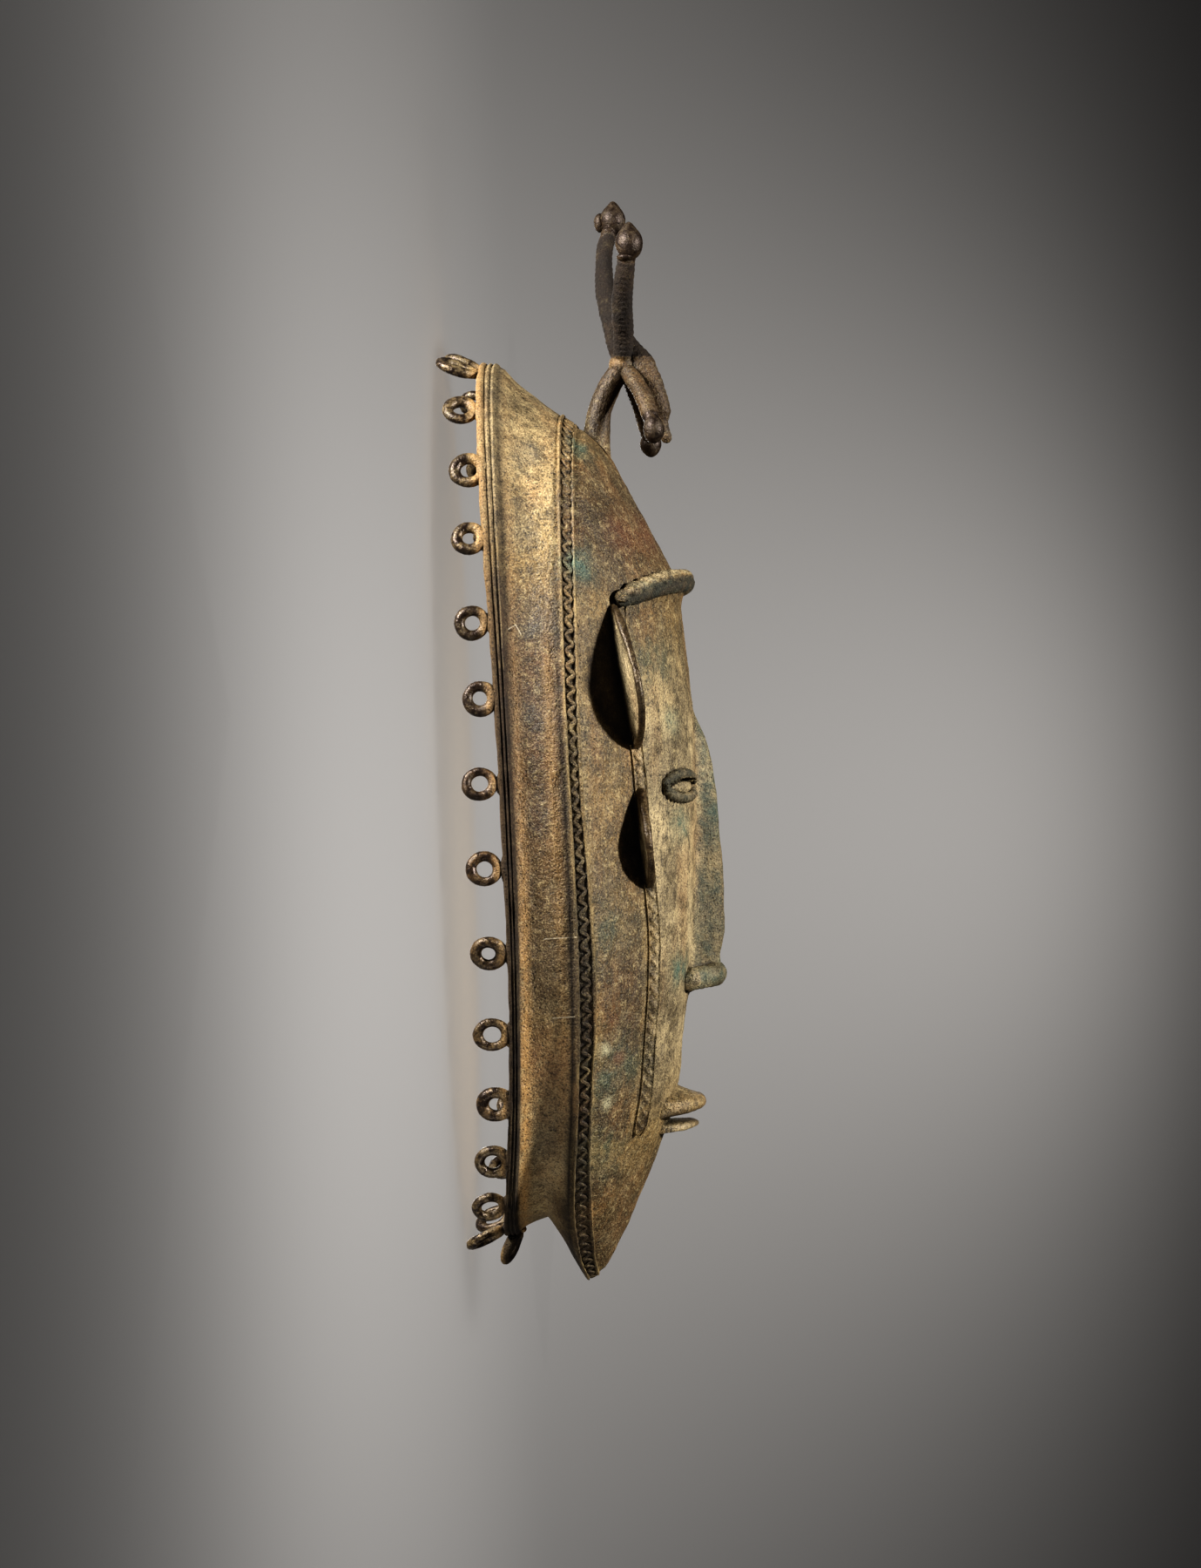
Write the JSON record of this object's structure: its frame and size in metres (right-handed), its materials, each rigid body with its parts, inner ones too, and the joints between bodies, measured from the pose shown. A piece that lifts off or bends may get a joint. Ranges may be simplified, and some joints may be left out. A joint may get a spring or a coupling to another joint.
{
  "type": "hollow cast brass face mask",
  "caption": "Hollow cast brass face mask with a long narrow face, a moulded rim set with a row of small loops, and a horned crest standing on a stem.",
  "frame": {"origin": "on the floor that the loops stand on, under the middle of the mask's bounding box", "axes": "+Z points out of the face, +Y from the chin to the crest, +X across the face; the mask lies on its back"},
  "size_m": [0.1518, 0.3448, 0.0848],
  "materials": {
    "brass": "old lost-wax cast brass with an uneven olive brown patina, earth in the hollows, traces of verdigris and polished dark high spots"
  },
  "bodies": {
    "root": {"mask": "brass"}
  },
  "joints": []
}
